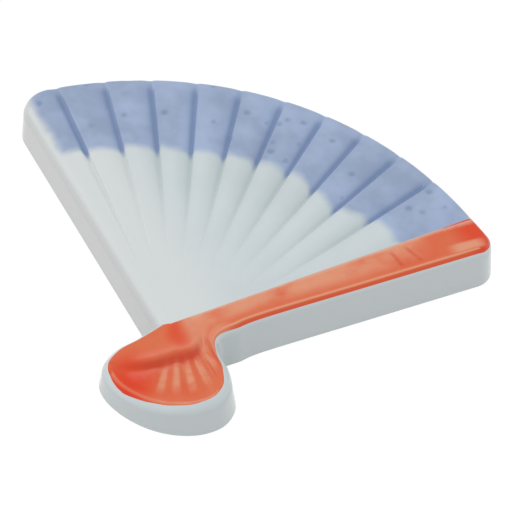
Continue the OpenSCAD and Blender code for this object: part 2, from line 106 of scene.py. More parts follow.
# The relief tree's inputs. The two depths are set from FormSettings. A dimple has a slope, and
# a share of the cells has none.
RELIEF_INPUTS = {"Pleat depth": 0.0, "Dimple depth": 0.0, "Dimple scale": 420.0,
                 "Blue margin": 0.0015}
DIMPLE_SLOPE, DIMPLE_SKIP = 2.8, 0.35
# The marks of a grid point in their order, and the distances in metres under which points become
# one, edges vanish and corners share a normal.
MARKS = ("phase", "fade", "blue", "along", "across", "round")
WELD, SLIVER, NORMAL_GRID = 1e-6, 1e-7, 2e-6

# The melt's two noises: scale, detail and roughness.
MELT = {"Cloud": (90.0, 3.0, 0.55), "Ripple": (700.0, 2.0, 0.5)}
GLOSS_SPREAD, GLAZE_IOR, COAT_ROUGHNESS, BUMP_DISTANCE = 0.08, 1.5, 0.06, 0.0001

# Ramps of the white glaze, each from none to full. Glaze pools in the grooves, and the pleats'
# faces take painted shade. The walls turn to painted shade over SIDE_SHADE_TURNED. The painted
# light beside the left edge fades in over LEFT_LIGHT_BAND and starts over LEFT_LIGHT_BAND_END, in
# metres from the pleat point, and turns to a warmer painted shade down the left wall over
# LEFT_SHADE_TURNED.
WHITE_SHADE, WHITE_CLOUD = 0.97, (0.35, 0.75)
WHITE_POOL, WHITE_POOL_PART, WHITE_FACE_SHADE_PART = (0.1, 1.0), 0.2, 0.4
SIDE_SHADE_TURNED, LEFT_SHADE_TURNED = (0.45, 0.8), (0.1, 1.0)
LEFT_LIGHT_BAND, LEFT_LIGHT_BAND_END = (-0.011, -0.0035), (0.0, 0.004)
# The blue glaze: its edge's wander as a noise's scale and a width in metres, its patches, and its
# darker grooves and dimples: the glaze pools in the grooves, the pleats' faces take painted shade,
# and the dimples' hollows take painted shade.
BLUE_WANDER, BLUE_IN = (420.0, 0.0012), (0.0001, 0.0017)
BLUE_SHADE, PATCH_NOISE, BLUE_PATCHES = 0.9, (260.0, 3.0), (0.3, 0.72)
BLUE_POOL, BLUE_POOL_PART, BLUE_FACE_SHADE_PART = (0.2, 1.0), 0.55, 0.2
PIT_SHADE, PIT_SHADE_PART = (0.0, 0.5), 0.5
CLAY_GRAIN, CLAY_SHADE = (3000.0, 3.0, 0.6), 0.9
CLAY_ROUGHNESS, CLAY_SPREAD, CLAY_BUMP = 0.6, 0.15, 0.25

# Where the brush left its marks. A spot has its middle in metres from the pleat point, and the
# distances at which it is full and gone.
LOBE_SPOT = ((-0.00422, -0.00563), 0.0012, 0.0052)
RIVET_SPOT = ((0.0003, 0.0019), 0.0012, 0.0028)
RIB_END_SPOT = ((0.00253, 0.00047), 0.0004, 0.0016)
# The streaks of the hollow fan out round a centre, between two directions in radians.
STREAK_CENTRE = (-0.00101, 0.00314)
STREAK_FROM, STREAK_TO, STREAK_BLEND = math.radians(-86), math.radians(-38), math.radians(9)
STREAK_CORE = STREAK_BLEND / 3
STREAK_WAVE, STREAK_FINE, STREAK_ACROSS = (-0.8, 1.0), (0.1, 0.6), (0.36, 0.58, 0.70, 0.95)
# Strokes across the guard, its tip and the painted highlight near the tip, in metres along the
# guard and off its wall. A stroke has its start and its slope.
STROKES = ((0.02728, -0.1), (0.0297, -0.25))
STROKE_W, STROKE_FINE = 0.00045, (0.2, 0.6)
STROKE_OUT = (-0.0042, -0.0034, -0.0014, -0.0006)
TIP_HIGHLIGHT_RUN = (0.0325, 0.0345, 0.0362, 0.0380)
TIP_HIGHLIGHT_OUT = (-0.0022, -0.0016, -0.0008, -0.0003)
NEAR_TIP, AT_TIP = (0.0288, 0.0322), (0.0330, 0.0368)
# Ramps and windows along the wall's points, across from the leaf to the wall, and down the edge.
# SHADE_BELOW_TURNED lays painted shade on the rounding below the ridge, the RIDGE ramps lay a pale
# line of thin enamel and painted highlight, and the VALLEY windows lay painted shade in the crease.
SHADE_BELOW_TURNED, FLAT_TURNED = (0.2, 0.32), (0.0, 0.1)
RIDGE_TURNED, RIDGE_ACROSS = (-0.02, 0.06, 0.14, 0.26), (0.9, 0.98)
RIDGE_LOBE, RIDGE_LOBE_PART, RIDGE_GUARD = (11.6, 10.6), 0.4, (13.6, 15.2)
BORDER_ACROSS, BORDER_ALONG, BORDER_BLOTS = (1.0, 0.4), (9.6, 12.5), (0.85, 0.4)
NECK_ALONG, NECK_ACROSS = (13.4, 14.2, 15.0, 16.2), (0.6, 0.9)
VALLEY_ACROSS, VALLEY_ALONG = (0.36, 0.44, 0.46, 0.56), (6.6, 8.2, 11.2, 12.4)
BARE_ACROSS, BARE_ALONG, BARE_WANDER = (0.14, -0.02), (13.0, 15.0), (900.0, 0.08)
DEEP_BLOTS, BLOT_NOISE = (0.3, 0.75), (230.0, 3.0, 0.55)
FINE_NOISE, FINE_STRETCH = 420.0, (1, 3, 1)
# In DEEP_PARTS, below is painted shade on the rounding under the ridge; the other parts are thick
# enamel.
DEEP_PARTS = {"blots": 0.3, "tip": 0.78, "near_tip": 0.15, "lobe": 1.0, "below": 0.5,
              "rivet": 0.6}
# In PALE_PARTS, ridge and neck are thin enamel with a painted highlight, and shine is a painted
# highlight.
PALE_PARTS = {"border": 0.7, "streaks": 0.7, "ridge": 0.8, "neck": 0.5, "rib_end": 0.5,
              "shine": 0.8}
# VALLEY_SHADE_PART is the strength of the painted shade in the crease.
VALLEY_SHADE_PART, STROKE_PART = 0.75, 0.5

# The stage: the photo's pixel under the pleat point, the picture's side, the sensor in
# millimetres, the floor's half side, glow and share of it, and each lamp's name, place, sides
# and tint.
PIVOT_PIXEL, IMAGE_SIDE, SENSOR, CLIP = (177.46, 345.5), 512, 36.0, 0.01
FLOOR_HALF, FLOOR_GREY, FLOOR_GLOW, FLOOR_GLOW_PART = 1.5, 0.9, 1.05, 0.93
LAMPS = (("Key", (-0.06, 0.02, 0.5), (0.16, 0.3), (1, 1, 1)),
         ("Fill", (-0.5, 0.05, 0.3), (0.35, 0.35), (1, 0.95, 0.9)))


def length_prop(label, about, metres):
    return FloatProperty(name=label, description=about, default=metres, unit="LENGTH")


def angle_prop(label, about, degrees):
    return FloatProperty(name=label, description=about, default=math.radians(degrees),
                         subtype="ANGLE")


def colour_prop(label, about, value):
    return FloatVectorProperty(name=label, description=about, default=value, subtype="COLOR")


class FormSettings(bpy.types.PropertyGroup):
    """Sizes of the fan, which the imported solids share."""

    leaf_h: length_prop("Leaf height", "Height of the pleats' raised edges", 0.0056)
    rim_r: length_prop("Rim radius", "Radius of the arc along the far rim", 0.0447)
    arc_left: length_prop("Arc left", "Arc centre, left of the pleat point", 0.0029)
    arc_front: length_prop("Arc front", "Arc centre, before the pleat point", 0.0053)
    left_angle: angle_prop("Left edge", "Direction of the left edge", 132.8)
    left_out: length_prop("Left wall", "Left wall's distance from the pleat point's line", 0.0014)
    corner_r: length_prop("Corner radius", "Plan radius of the left corner", 0.0036)
    left_shoulder: length_prop("Left rounding", "Width of the left rounding", 0.0021)
    rim_shoulder: length_prop("Rim rounding", "Width of the rim's rounding", 0.0013)
    leaf_drop: length_prop("Leaf drop", "Drop of the leaf's rounded edge", 0.0017)
    line_count: IntProperty(name="Lines", description="Lines between pleats", default=10)
    first_line: angle_prop("First line", "Direction of the first line", 126.4)
    pleat_angle: angle_prop("Pleat angle", "Angle from line to line", 8.08)
    pleat_depth: length_prop("Pleat depth", "Depth of the grooves", 0.00042)
    rim_fade: length_prop("Rim fade", "Width along the rim over which the grooves grow shallow",
                          0.0016)
    fade_start: length_prop("Fade start", "Where the pleats begin", 0.009)
    fade_end: length_prop("Fade end", "Where the pleats are full", 0.031)
    guard_angle: angle_prop("Border angle", "Direction of the guard's border", 39.2)
    border_out: length_prop("Border distance", "Border's distance from the pleat point", 0.003)
    guard_wall_angle: angle_prop("Guard wall angle", "Direction of the guard's wall", 35.8)
    guard_out: length_prop("Guard wall", "Guard wall's distance from the pleat point", 0.00076)
    guard_rise: length_prop("Guard rise", "Height of the guard's ridge", 0.0009)
    guard_shoulder: length_prop("Guard rounding", "Width outside the ridge", 0.00125)
    guard_drop: length_prop("Guard drop", "Drop of that rounding", 0.0017)
    tip_r: length_prop("Tip radius", "Plan radius of the guard's tip", 0.0027)
    handle_w: length_prop("Handle width", "Width of the handle", 0.015)
    rib_rise: length_prop("Rib rise", "Height of the rib on the handle", 0.0004)
    bowl_depth: length_prop("Hollow depth", "Depth of the handle's hollow", 0.0005)
    flute_count: IntProperty(name="Flutes", description="Flutes in the hollow", default=5)
    flute_depth: length_prop("Flute depth", "Depth of each flute", 0.00014)
    handle_shoulder: length_prop("Handle rounding", "Width of the rounding round the handle",
                                 0.0017)
    neck_narrowing: length_prop("Neck narrowing", "How much narrower the rounding is at the neck",
                                0.0005)
    join_at: length_prop("Join", "Where the handle joins the left edge", 0.004)
    wall_lean: length_prop("Wall lean", "How far the wall leans in", 0.00045)
    glaze_line: length_prop("Glaze line", "Height at which the glaze ends", 0.0005)
    glaze: length_prop("Glaze", "Thickness of the coats", 0.00025)
    blue_start: length_prop("Blue start", "Inner edge of the blue band", 0.0268)
    left_fade: length_prop("Left fade", "Reach of the blue past the pleat point's line", 0.0004)
    blue_dip: length_prop("Blue dip", "Dip of that edge at each groove", 0.0012)
    dimple_depth: length_prop("Dimple depth", "Depth of glaze dimples", 0.0001)


class GlazeSettings(bpy.types.PropertyGroup):
    """Colours of the finishes, as they look in plain light, some of them carrying painted shade or
    painted light.
    """

    white: colour_prop("White", "Clear glaze over white porcelain", (0.865, 0.905, 0.92))
    # Side white is painted shade on the walls.
    white_side_shade: colour_prop("Side white", "Clear glaze on the walls", (0.81, 0.842, 0.848))
    # Bright white is painted light on the first pleat beside the left edge; left white is a warmer
    # painted shade on the left wall.
    white_left_light: colour_prop("Bright white", "Glaze beside the left edge", (0.893, 0.916, 0.918))
    white_left_shade: colour_prop("Left white", "Glaze on the left wall", (0.812, 0.822, 0.818))
    # Pooled white is glaze pooling in the grooves, and also painted shade across the pleats' faces.
    white_pool_and_shade: colour_prop("Pooled white", "Clear glaze where it pools", (0.70, 0.77, 0.77))
    blue: colour_prop("Blue", "Blue glaze", (0.685, 0.76, 0.89))
    # Pooled blue is glaze pooling in the grooves, and also painted shade across the pleats' faces
    # and in the dimples.
    blue_pool_and_shade: colour_prop("Pooled blue", "Blue glaze in the grooves", (0.42, 0.53, 0.71))
    red: colour_prop("Red", "Red-orange enamel", (0.92, 0.47, 0.31))
    # Deep red is thick enamel, and also painted shade on the rounding below the ridge.
    red_deep_and_shade: colour_prop("Deep red", "Enamel laid on thickly", (0.93, 0.23, 0.05))
    # Pale red is thin enamel, and also painted highlight on the ridge, at the neck and near the
    # tip.
    red_pale_and_highlight: colour_prop("Pale red", "Enamel brushed out thinly", (0.95, 0.68, 0.54))
    red_thin: colour_prop("Thin red", "Enamel at its border", (0.92, 0.735, 0.65))
    # Dark red is brush strokes of enamel, and also painted shade in the handle's crease.
    red_strokes_and_shade: colour_prop("Dark red", "Enamel in the crease", (0.85, 0.25, 0.13))
    clay: colour_prop("Clay", "Bare fired porcelain", (0.86, 0.84, 0.80))


class StageSettings(bpy.types.PropertyGroup):
    """Camera and lamps."""

    elevation: angle_prop("Elevation", "Camera's height angle", 51.97)
    azimuth: angle_prop("Azimuth", "Camera's side angle", 13.07)
    roll: angle_prop("Roll", "Camera's roll", 2.0)
    distance: length_prop("Distance", "Camera to pleat point", 0.21739)
    focal: FloatProperty(name="Focal length", description="Focal length in pixels", default=2000.0)
    key: FloatProperty(name="Key", description="Power of the key lamp", default=0.5)
    fill: FloatProperty(name="Fill", description="Power of the fill lamp", default=0.25)
    world: FloatProperty(name="World", description="Strength of the surroundings", default=0.62)


def direction(angle):
    return np.array((math.cos(angle), math.sin(angle)))


def mix(a, b, t):
    return a + (b - a) * t


def clamp(t, low=0.0, high=1.0):
    return min(max(t, low), high)


def ease(t):
    t = clamp(t)
    return t * t * (3 - 2 * t)


def rise(value, low, high):
    """0 at low and 1 at high, eased."""
    return ease((value - low) / (high - low))


def bearing(v):
    return math.atan2(v[1], v[0])


def unit(v):
    return v / norm(v)


def reach(p, d, centre, r):
    """Distance from p along d to the far side of a circle."""
    b = (p - centre) @ d
    return -b + math.sqrt(b * b - (p - centre) @ (p - centre) + r * r)


def meet(p, d, q, e):
    n = np.array((-e[1], e[0]))
    return p + d * (((q - p) @ n) / (d @ n))


def curve(points, u):
    """Smooth curve through points, at a fractional place u."""
    last = len(points) - 1
    k = min(int(math.floor(u)), last - 1)
    t = u - k
    a, b = points[max(k - 1, 0)], points[k]
    c, d = points[k + 1], points[min(k + 2, last)]
    return (2 * b + (c - a) * t + (2 * a - 5 * b + 4 * c - d) * t * t
            + (3 * b - a - 3 * c + d) * t * t * t) / 2


def table(places, values, at):
    """Smooth curve through values that stand at uneven places."""
    k = max(i for i in range(len(places) - 1) if places[i] <= at or i == 0)
    t = (at - places[k]) / (places[k + 1] - places[k])
    return curve(np.array(values, float), k + clamp(t))


class FanForm:
    """The fan's surfaces as grids of points, from the sizes in FormSettings."""

    CORNER_STEPS = 14
    INNER_ROWS = 26
    OUTER_ROWS = 34
    LOBE_COLS = 26
    ACROSS = 30
    ROUND_STEPS = 12
    PAINT_ROW = 6
    WALL_STEPS = 3
    TIP_STEPS = 16

    def __init__(self, s):
        self.s = s
        quarter = math.pi / 2
        self.arc = np.array((-s.arc_left, -s.arc_front))
        self.left_normal = direction(s.left_angle + quarter)
        self.left_run = direction(s.left_angle)
        self.border = s.border_out * direction(s.guard_angle + quarter)
        self.border_run = direction(s.guard_angle)
        self.guard_normal = direction(s.guard_wall_angle - quarter)
        self.guard_run = direction(s.guard_wall_angle)
        self.top_rim_r = s.rim_r - s.rim_shoulder
        self.corner_top_r = s.corner_r * TOP_CORNER_SHARE
        self.tip_top_r = s.tip_r * TOP_CORNER_SHARE
        left_top = s.left_out - s.left_shoulder
        guard_top = s.guard_out - s.guard_shoulder
        self.wall_corner = self.corner(s.left_out, self.left_normal, self.left_run,
                                       s.corner_r, s.rim_r)
        self.top_corner = self.corner(left_top, self.left_normal, self.left_run,
                                      self.corner_top_r, self.top_rim_r)
        self.wall_tip = self.corner(s.guard_out, self.guard_normal, self.guard_run,
                                    s.tip_r, s.rim_r)
        self.top_tip = self.corner(guard_top, self.guard_normal, self.guard_run,
                                   self.tip_top_r, self.top_rim_r)
        self.join_top = meet(self.border, self.border_run, left_top * self.left_normal,
                             self.left_run)
        self.join_wall = s.left_out * self.left_normal + s.join_at * self.left_run
        self.tip_join = self.border + self.border_run * reach(
            self.border, self.border_run, self.arc, self.top_rim_r)
        self.make_columns()
        self.make_wall()
        self.make_edge()

    def corner(self, out, normal, run, r, arc_r):
        """Centre of a circle that touches a straight wall and the rim's arc."""
        p = (out - r) * normal
        return p + run * reach(p, run, self.arc, arc_r - r)

    def make_columns(self):
        """Each column of the leaf has a direction and a place across its pleat."""
        s = self.s
        places = [k / self.CORNER_STEPS for k in range(self.CORNER_STEPS + 1)]
        columns = [(None, mix(CORNER_START, CORNER_PHASE, place ** CORNER_CROWDING))
                   for place in places]
        columns += [(s.first_line + (1 - share) * s.pleat_angle, share)
                    for share in PLEAT_SHARES if share > FIRST_SHARE]
        self.first_crest = len(columns)
        for line in range(s.line_count - 1):
            columns += [(s.first_line - (line + share) * s.pleat_angle, share)
                        for share in PLEAT_SHARES]
        self.last_crest = len(columns)
        last_line = s.first_line - (s.line_count - 1) * s.pleat_angle
        tip, steps = bearing(self.tip_join), self.TIP_STEPS
        columns += [(mix(last_line, tip, k / steps), LAST_PHASE * min(1.0, LAST_SPEED * k / steps))
                    for k in range(steps + 1)]
        self.columns = columns
        self.cols = len(columns) - 1
        self.blue_col = self.last_crest + round(BLUE_END * steps)
        self.start_along = (self.join_top - self.border) @ self.border_run
        self.line_along = s.border_out / math.tan(last_line - s.guard_angle)
        self.rows = self.INNER_ROWS + self.OUTER_ROWS
        here = self.border_at(self.last_crest)
        self.core_r = core = CORE_PLACE * s.rim_r
        out = s.left_out - s.left_shoulder
        self.left_core = (out * self.left_normal
                          + self.left_run * math.sqrt(core * core - out * out))
        self.first_core = core * direction(s.first_line)
        self.left_bearing = bearing(self.rim_top(0))
        self.core_share = ((core - norm(here))
                           / (norm(self.rim_top(self.last_crest)) - norm(here)))

    def corner_point(self, centre, r, t):
        a = mix(self.s.left_angle + math.pi / 2, bearing(centre - self.arc), t)
        return centre + r * direction(a)

    def rim_top(self, c):
        if c <= self.CORNER_STEPS:
            return self.corner_point(self.top_corner, self.corner_top_r, c / self.CORNER_STEPS)
        if c == self.cols:
            return self.tip_join
        d = direction(self.columns[c][0])
        return d * reach(np.zeros(2), d, self.arc, self.top_rim_r)

    def rim_wall(self, c):
        if c <= self.CORNER_STEPS:
            return self.corner_point(self.wall_corner, self.s.corner_r, c / self.CORNER_STEPS)
        return self.arc + self.s.rim_r * unit(self.rim_top(c) - self.arc)

    def border_at(self, c):
        if c <= self.last_crest:
            share = (c / self.last_crest) ** BORDER_CROWDING
            along = mix(self.start_along, self.line_along, share)
            return self.border + along * self.border_run
        if c == self.cols:
            return self.tip_join
        turn = self.columns[c][0] - self.s.guard_angle
        return self.border + self.s.border_out / math.tan(turn) * self.border_run

    def fade(self, p):
        s = self.s
        inward = rise(norm(p), s.fade_start, s.fade_end)
        past = norm(p - self.arc) - self.top_rim_r + s.rim_fade
        return inward * mix(1, RIM_KEEP, ease(past / s.rim_fade))

    def core_at(self, c):
        if c < self.first_crest:
            turned = self.left_bearing - bearing(self.rim_top(c))
            share = turned / (self.left_bearing - self.s.first_line)
            return mix(self.left_core, self.first_core, share)
        if c <= self.last_crest:
            return self.core_r * unit(self.rim_top(c))
        return mix(self.border_at(c), self.rim_top(c), self.core_share)

    def blue_at(self, c):
        """Where the blue band begins in a column: it dips in at each groove."""
        s = self.s
        angle, phase = self.columns[c]
        turns = 0 if angle is None else (s.first_line - angle) / s.pleat_angle + 1
        base = curve(np.array(BLUE_EDGE_SHARES, float),
                     clamp(turns, 0.0, len(BLUE_EDGE_SHARES) - 1))
        groove = np.interp(phase, *zip(*PLEAT_FALL_SHARES))
        start = s.blue_start * base - s.blue_dip * (groove - DIP_MIDDLE)
        core, rim = self.core_at(c), self.rim_top(c)
        share = (start - norm(core)) / max(norm(rim - core), s.glaze)
        return mix(core, rim, clamp(share, *BLUE_KEEP))

    def left_share(self, i):
        blue = ((norm(self.blue_at(1)) - norm(self.join_top))
                / norm(self.rim_top(0) - self.join_top))
        if i <= self.INNER_ROWS:
            return blue * i / self.INNER_ROWS
        return mix(blue, 1, (i - self.INNER_ROWS) / self.OUTER_ROWS)

    def leaf_plan(self, i, c):
        if c == self.cols:
            return self.tip_join
        if i == 0:
            return self.border_at(c)
        if c == 0:
            return mix(self.join_top, self.rim_top(0), self.left_share(i))
        first = self.INNER_ROWS // 3
        if i <= first:
            return mix(self.border_at(c), self.core_at(c), i / first)
        if i <= self.INNER_ROWS:
            return mix(self.core_at(c), self.blue_at(c), (i - first) / (self.INNER_ROWS - first))
        return mix(self.blue_at(c), self.rim_top(c), (i - self.INNER_ROWS) / self.OUTER_ROWS)

    def make_wall(self):
        """The wall round handle and guard, with the rim's rise as its third value."""
        s = self.s
        points = [(*self.join_wall, 0.0)]
        points += [tuple(v * s.handle_w for v in p) for p in WALL_SHARES]
        for along in GUARD_PLACES:
            p = s.guard_out * self.guard_normal + self.guard_run * (along * norm(self.wall_tip))
            points.append((*p, s.guard_rise))
        points.append((*(self.wall_tip + s.tip_r * self.guard_normal), s.guard_rise))
        self.wall = np.array(points)
        self.wall_last = len(points) - 1
        self.strip = self.LOBE_COLS + self.cols

    def front_u(self, k):
        if k <= self.LOBE_COLS:
            return mix(LOBE_TO, JOIN_U, k / self.LOBE_COLS)
        if k <= self.LOBE_COLS + self.last_crest:
            done = (k - self.LOBE_COLS) / self.last_crest
            return curve(FRONT_PLACES, done * (len(FRONT_PLACES) - 1))
        done = k - self.LOBE_COLS - self.last_crest
        return mix(LINE_U, self.wall_last, done / (self.cols - self.last_crest))

    def wall_at(self, u):
        return curve(self.wall, u)[:2]

    def rim_rise(self, u):
        return curve(self.wall, u)[2]

    def inset_at(self, u):
        ahead, behind = min(u + RUN_STEP, self.wall_last), max(u - RUN_STEP, 0)
        run = unit(self.wall_at(ahead) - self.wall_at(behind))
        guard = rise(u, *NARROW)
        neck = ease((u - PINCH_FROM) / PINCH_STEP) * ease((PINCH_TO - u) / PINCH_STEP)
        width = (mix(self.s.handle_shoulder, self.s.guard_shoulder, guard)
                 - self.s.neck_narrowing * neck)
        return self.wall_at(u) + width * np.array((-run[1], run[0]))

    def paint_turn(self, along, across):
        """How far the edge has turned down where the enamel ends."""
        if across == 0:
            return mix(HANDLE_TURN, JOIN_TURN, rise(along, LOBE_TO, JOIN_U))
        handle = math.radians(np.interp(along, *zip(*HANDLE_TURNS)))
        return mix(handle, GUARD_TURN, rise(along, *GUARD_PAINT))

    def back_u(self, k):
        return mix(LOBE_FROM, 0, k / self.LOBE_COLS)

    def tip_point(self, centre, r, arc_r, share):
        start, end = bearing(self.tip_join - self.arc), bearing(centre - self.arc)
        if share <= TIP_SPLIT:
            return self.arc + arc_r * direction(mix(start, end, share / TIP_SPLIT))
        last = self.s.guard_wall_angle - math.pi / 2
        return centre + r * direction(mix(end, last, (share - TIP_SPLIT) / (1 - TIP_SPLIT)))

    def strip_plan(self, share, k):
        if share == 0:
            if k < self.LOBE_COLS:
                pull = (k / self.LOBE_COLS) ** 2
                return self.inset_at(self.back_u(k)) + (self.join_top - self.inset_at(0)) * pull
            return self.border_at(k - self.LOBE_COLS)
        if k == self.strip:
            return self.tip_point(self.top_tip, self.tip_top_r, self.top_rim_r, share)
        if k == 0:
            return self.inset_at(mix(LOBE_FROM, LOBE_TO, share))
        return mix(self.strip_plan(0, k), self.inset_at(self.front_u(k)), share)

    def flute(self, u):
        """Crests and troughs of the flutes along the wall, from 1 to -1."""
        place = (u - FLUTES_FROM) / (FLUTES_TO - FLUTES_FROM)
        wave = math.cos(2 * math.pi * (self.s.flute_count - 1) * place)
        starts = ease((u - FLUTES_FROM) / FLUTES_BLEND + 1)
        stops = ease((FLUTES_TO - u) / FLUTES_BLEND + 1)
        return wave * starts * stops

    def strip_height(self, share, k):
        """Height in the guard and handle without the pleats, and how much of them reaches there."""
        s = self.s
        if k == 0:
            return s.leaf_h + self.rim_rise(mix(LOBE_FROM, LOBE_TO, share)), 0.0
        u = self.front_u(k)
        lobe = ease(k / self.LOBE_COLS)
        hollow = table(ACROSS_SHARES, BOWL_SHARES, share) * s.bowl_depth
        hollow += table(ACROSS_SHARES, FLUTE_SHARES, share) * s.flute_depth * self.flute(u)
        shape = table(ACROSS_SHARES, RIB_SHARES, share) * s.rib_rise + hollow
        back = s.leaf_h
        if k < self.LOBE_COLS:
            back += self.rim_rise(self.back_u(k))
        z = mix(back, s.leaf_h + self.rim_rise(u), share) + shape * lobe * (1 - rise(u, *NECK))
        return z, (1 - share) if k >= self.LOBE_COLS else 0.0

    def make_edge(self):
        """The closed edge of the top, clockwise from the join of handle and left edge."""
        s = self.s
        wall_z = s.leaf_h - s.leaf_drop
        edge = [(self.leaf_plan(i, 0), s.leaf_h, wall_z, 0,
                 mix(self.join_wall, self.rim_wall(0), self.left_share(i)), 0, 0)
                for i in range(self.rows + 1)]
        edge += [(self.rim_top(c), s.leaf_h, wall_z, c, self.rim_wall(c), 0, 0)
                 for c in range(1, self.cols + 1)]
        shares = [w / self.ACROSS for w in range(self.ACROSS + 1)]
        for share in shares[1:]:
            z = self.strip_height(share, self.strip)[0]
            edge.append((self.strip_plan(share, self.strip), z,
                         mix(wall_z, z - s.guard_drop, share), None,
                         self.tip_point(self.wall_tip, s.tip_r, s.rim_r, share),
                         self.wall_last, share))

        def beside_strip(share, k, wall_u, along):
            z = self.strip_height(share, k)[0]
            edge.append((self.strip_plan(share, k), z, z - s.guard_drop, None,
                         self.wall_at(wall_u), along, share))

        for k in range(self.strip - 1, -1, -1):
            beside_strip(1, k, self.front_u(k), self.front_u(k))
        for share in shares[-2::-1]:
            beside_strip(share, 0, mix(LOBE_FROM, LOBE_TO, share), LOBE_TO)
        for k in range(1, self.LOBE_COLS):
            beside_strip(0, k, self.back_u(k), self.front_u(k))
        self.edge = edge
        walls = np.array([e[4] for e in edge])
        self.middle = (walls.min(axis=0) + walls.max(axis=0)) / 2
        self.blue_edge, self.tip_edge = self.INNER_ROWS, self.rows + self.cols

    # A grid point holds its outer place, its inner place, and then its marks: the place across
    # the pleat, the pleats' strength, the blue's depth, the place along and across guard and
    # handle, and how far the edge has turned down.
    def point(self, p, z, out, phase=0.0, fade=0.0, blue=0.0, along=0.0, across=0.0, turned=0.0):
        outer = np.array((p[0] - self.middle[0], p[1] - self.middle[1], z))
        blue = min(blue, self.s.left_fade - p @ self.left_normal)
        return np.concatenate((outer, outer - self.s.glaze * out,
                               (phase, fade, blue, along, across, turned)))

    def leaf_point(self, i, c):
        s, p = self.s, self.leaf_plan(i, c)
        blue = norm(p) - norm(self.blue_at(min(c, self.cols - 1)))
        if c > self.last_crest:
            blue = max(blue, norm(p) - LAST_BLUE_SHARE * s.blue_start)
        return self.point(p, s.leaf_h, UP, self.columns[c][1], self.fade(p), blue)

    def strip_point(self, w, k):
        share, c = w / self.ACROSS, max(k - self.LOBE_COLS, 0)
        z, reaches = self.strip_height(share, k)
        return self.point(self.strip_plan(share, k), z, UP, self.columns[c][1],
                          self.fade(self.border_at(c)) * reaches, 0.0, self.front_u(k), share)

    def edge_point(self, k, q):
        """A point of the rounding or the wall below place q of the edge, k steps down."""
        s, quarter, q = self.s, math.pi / 2, q % len(self.edge)
        top, z, wall_z, c, wall, along, across = self.edge[q]
        out = unit(wall - top)
        if q <= self.rows:
            paint = mix(JOIN_TURN, GUARD_TURN, ease(q / self.INNER_ROWS))
        elif c is not None:
            paint = GUARD_TURN
        else:
            paint = self.paint_turn(along, across)
        if k <= self.PAINT_ROW:
            a = paint * k / self.PAINT_ROW
        else:
            past = (k - self.PAINT_ROW) / (self.ROUND_STEPS - self.PAINT_ROW)
            a = mix(paint, quarter, min(past, 1.0))
        phase = fade = blue = 0.0
        if c is not None:
            phase, fade = self.columns[c][1], self.fade(top) * math.cos(a)
            blue = norm(top) - norm(self.blue_at(max(c, 1)))
        head = wall - s.wall_lean * out
        if k <= self.ROUND_STEPS:
            p, height = mix(top, head, math.sin(a)), mix(wall_z, z, math.cos(a))
        else:
            t = (k - self.ROUND_STEPS) / self.WALL_STEPS
            low = wall - s.wall_lean * s.glaze_line / wall_z * out
            p, height = mix(head, low, t), mix(wall_z, s.glaze_line, t)
        n = np.array((*(out * math.sin(a)), math.cos(a)))
        return self.point(p, height, n, phase, fade, blue, along, across, a / quarter)

    def grids(self):
        """Points of the leaf, of the strip over handle and guard, and of the edge round both."""
        sizes = ((self.leaf_point, self.rows, self.cols),
                 (self.strip_point, self.ACROSS, self.strip),
                 (self.edge_point, self.ROUND_STEPS + self.WALL_STEPS, len(self.edge)))
        return [np.array([[point(i, j) for j in range(cols + 1)] for i in range(rows + 1)])
                for point, rows, cols in sizes]


def new_object(name, data):
    """An object in the scene, at the origin."""
    made = bpy.data.objects.new(name, data)
    bpy.context.scene.collection.objects.link(made)
    return made


def inner_face(grid):
    """The same points on a coat's inner side, against the clay."""
    under = grid.copy()
    under[..., :3] = grid[..., 3:6]
    return under


def coat_sheets(*grids, flip=False):
    """Both faces of each grid: points, whether it faces the other way, and if it is outside."""
    return [sheet for grid in grids
            for sheet in ((grid, flip, True), (inner_face(grid), not flip, False))]


def rim_strips(*paths):
    """Two-row grids that close a coat's border, from its outer face to its inner one."""
    return [(np.stack((path, inner_face(path))), False, False) for path in paths]


def sheets_to_object(name, sheets):
    """Joins grids of points into one closed mesh that keeps their marks."""
    points, marks, faces, outside = [], [], [], []
    for grid, flip, is_outside in sheets:
        height, width = grid.shape[:2]
        base = len(points)
        flat = grid.reshape(-1, grid.shape[2])
        points += flat[:, :3].tolist()
        marks += flat[:, 6:].tolist()
        corners = [base + i * width + j for i in range(height - 1) for j in range(width - 1)]
        turn = -1 if flip else 1
        faces += [(a, a + 1, a + width + 1, a + width)[::turn] for a in corners]
        outside += [is_outside] * len(corners)
    mesh = bpy.data.meshes.new(name)
    mesh.from_pydata(points, [], faces)
    values = np.array(marks, dtype=np.float32)
    for k, mark in enumerate(MARKS):
        layer = mesh.attributes.new(mark, "FLOAT", "POINT")
        layer.data.foreach_set("value", values[:, k].copy())
    layer = mesh.attributes.new("outside", "BOOLEAN", "FACE")
    layer.data.foreach_set("value", outside)
    work = bmesh.new()
    work.from_mesh(mesh)
    bmesh.ops.remove_doubles(work, verts=work.verts, dist=WELD)
    bmesh.ops.dissolve_degenerate(work, edges=work.edges, dist=SLIVER)
    work.to_mesh(mesh)
    work.free()
    return new_object(name, mesh)


